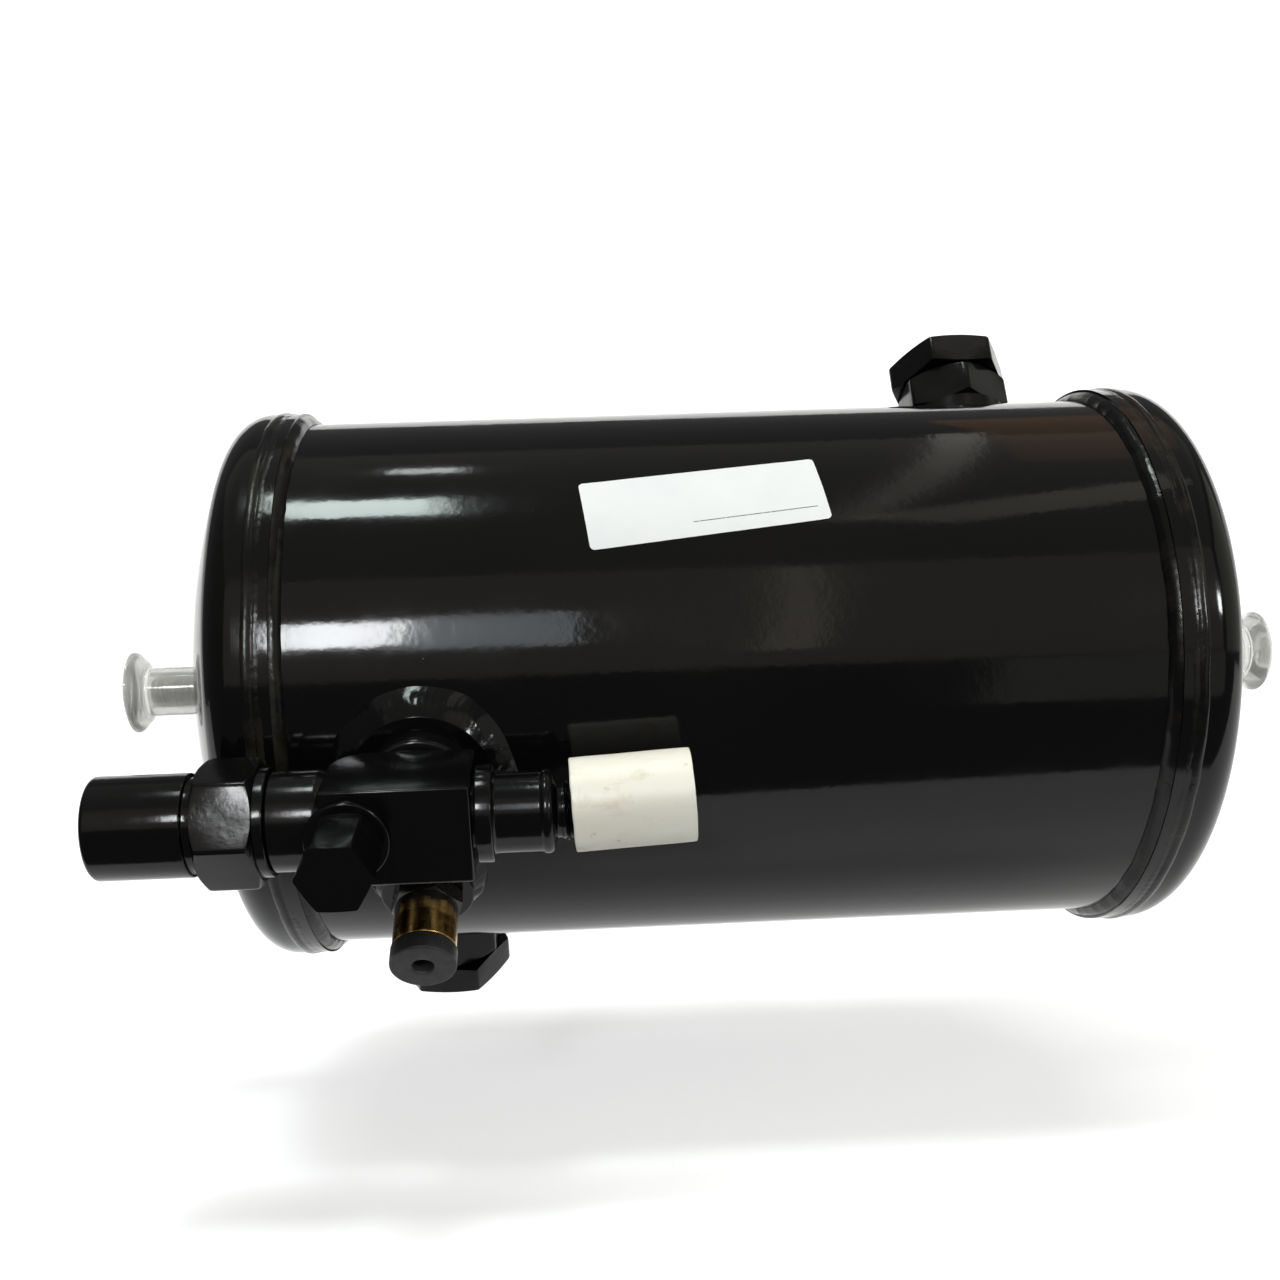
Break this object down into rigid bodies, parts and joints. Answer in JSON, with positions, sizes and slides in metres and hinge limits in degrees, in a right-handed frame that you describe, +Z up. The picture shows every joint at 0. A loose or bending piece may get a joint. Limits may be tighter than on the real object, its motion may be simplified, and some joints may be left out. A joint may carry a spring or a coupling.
{
  "type": "receiver drier",
  "caption": "Black welded steel receiver drier lying on its side, with a service valve, relief valve, capped ports and end studs in plastic protectors.",
  "frame": {"origin": "foot of the left mounting stud, on the tank's axis where the stud meets the head's crown", "axes": "+X along the tank towards the right-hand end, +Z up, the service valve on the -Y side"},
  "size_m": [0.3407, 0.2057, 0.2096],
  "materials": {
    "black_paint": "gloss",
    "bare_steel": "satin",
    "clear_plastic": "satin",
    "brass": "satin",
    "black_rubber": "matt",
    "cream_plastic": "satin",
    "fibre": "matt",
    "copper": "satin",
    "label_white": "satin",
    "felt": "matt"
  },
  "bodies": {
    "tank": {"shell": "black_paint", "head_left": "black_paint", "head_right": "black_paint", "head_weld_left": "black_paint", "head_weld_right": "black_paint", "stud_left": "bare_steel", "stud_right": "bare_steel", "stud_weld_left": "black_paint", "stud_weld_right": "black_paint", "valve_boss": "black_paint", "valve_weld": "black_paint", "valve_body": "black_paint", "stem_packing": "fibre", "gland_nut": "brass", "outlet_fitting": "black_paint", "port_fitting": "black_paint", "port_core": "brass", "core_spring": "bare_steel", "relief_boss": "black_paint", "relief_weld": "black_paint", "relief_body": "brass", "relief_spring": "bare_steel", "relief_adjuster": "brass", "upper_port_boss": "black_paint", "upper_port_weld": "black_paint", "lower_port_boss": "black_paint", "lower_port_weld": "black_paint", "pickup_tube": "bare_steel", "pickup_strainer": "bare_steel", "desiccant_bag": "felt", "label": "label_white"},
    "left_protector": {"protector_left": "clear_plastic"},
    "right_protector": {"protector_right": "clear_plastic"},
    "disc": {"seat_disc": "brass"},
    "stem": {"valve_stem": "bare_steel"},
    "cap_gasket": {"stem_cap_gasket": "fibre"},
    "cap": {"stem_cap": "black_paint"},
    "outlet_plug": {"outlet_cap": "cream_plastic"},
    "pin": {"core_pin": "brass"},
    "port_gasket": {"port_cap_gasket": "black_rubber"},
    "port_nut": {"port_cap": "black_paint"},
    "poppet": {"relief_poppet": "brass", "relief_seal": "black_rubber"},
    "dust_cover": {"relief_dust_cap": "black_rubber"},
    "upper_seal": {"upper_port_seal": "copper"},
    "upper_nut": {"upper_port_plug": "black_paint"},
    "lower_seal": {"lower_port_seal": "copper"},
    "lower_nut": {"lower_port_plug": "black_paint"}
  },
  "joints": [
    {"name": "left_protector_pull", "type": "slide", "parent": "tank", "child": "left_protector", "axis": [-1, 0, 0], "range_m": [0, 0.025]},
    {"name": "right_protector_pull", "type": "slide", "parent": "tank", "child": "right_protector", "axis": [1, 0, 0], "range_m": [0, 0.025]},
    {"name": "disc_travel", "type": "slide", "parent": "tank", "child": "disc", "axis": [1, 0, 0], "range_m": [0, 0.0127]},
    {"name": "stem_turn", "type": "hinge", "parent": "disc", "child": "stem", "pos_m": [0.06877, -0.09331, -0.03122], "axis": [1, 0, 0], "range_deg": [0, 1800]},
    {"name": "stem_cap_travel", "type": "slide", "parent": "tank", "child": "cap_gasket", "axis": [-1, 0, 0], "range_m": [0, 0.012]},
    {"name": "stem_cap_turn", "type": "hinge", "parent": "cap_gasket", "child": "cap", "pos_m": [0.06877, -0.09331, -0.03122], "axis": [-1, 0, 0], "range_deg": [0, 2880]},
    {"name": "outlet_cap_pull", "type": "slide", "parent": "tank", "child": "outlet_plug", "axis": [1, 0, 0], "range_m": [0, 0.025]},
    {"name": "core_press", "type": "slide", "parent": "tank", "child": "pin", "axis": [0, 0.9483, 0.3173], "range_m": [0, 0.0012], "stiffness_N_per_m": 800, "springref_m": -0.002, "deforming": ["core_spring"]},
    {"name": "port_cap_travel", "type": "slide", "parent": "tank", "child": "port_gasket", "axis": [0, -0.9483, -0.3173], "range_m": [0, 0.01016]},
    {"name": "port_cap_turn", "type": "hinge", "parent": "port_gasket", "child": "port_nut", "pos_m": [0.05477, -0.1046, -0.035], "axis": [0, -0.9483, -0.3173], "range_deg": [0, 2880]},
    {"name": "relief_lift", "type": "slide", "parent": "tank", "child": "poppet", "axis": [0, -0.7373, -0.6756], "range_m": [0, 0.0025], "stiffness_N_per_m": 6000, "springref_m": -0.01, "deforming": ["relief_spring"]},
    {"name": "dust_cap_pull", "type": "slide", "parent": "tank", "child": "dust_cover", "axis": [0, -0.7373, -0.6756], "range_m": [0, 0.01]},
    {"name": "upper_cap_travel", "type": "slide", "parent": "tank", "child": "upper_seal", "axis": [0, 0.4226, 0.9063], "range_m": [0, 0.0075]},
    {"name": "upper_cap_turn", "type": "hinge", "parent": "upper_seal", "child": "upper_nut", "pos_m": [0.23507, 0.04226, 0.09063], "axis": [0, 0.4226, 0.9063], "range_deg": [0, 1800]},
    {"name": "lower_cap_travel", "type": "slide", "parent": "tank", "child": "lower_seal", "axis": [0, 0.4772, -0.8788], "range_m": [0, 0.0075]},
    {"name": "lower_cap_turn", "type": "hinge", "parent": "lower_seal", "child": "lower_nut", "pos_m": [0.06177, 0.04772, -0.08788], "axis": [0, 0.4772, -0.8788], "range_deg": [0, 1800]}
  ],
  "couplings": [
    {"joint": "disc_travel", "follows": "stem_turn", "m_per_rad": 0.00040425},
    {"joint": "stem_cap_travel", "follows": "stem_cap_turn", "m_per_rad": 0.00023873},
    {"joint": "port_cap_travel", "follows": "port_cap_turn", "m_per_rad": 0.00020213},
    {"joint": "upper_cap_travel", "follows": "upper_cap_turn", "m_per_rad": 0.00023873},
    {"joint": "lower_cap_travel", "follows": "lower_cap_turn", "m_per_rad": 0.00023873}
  ]
}
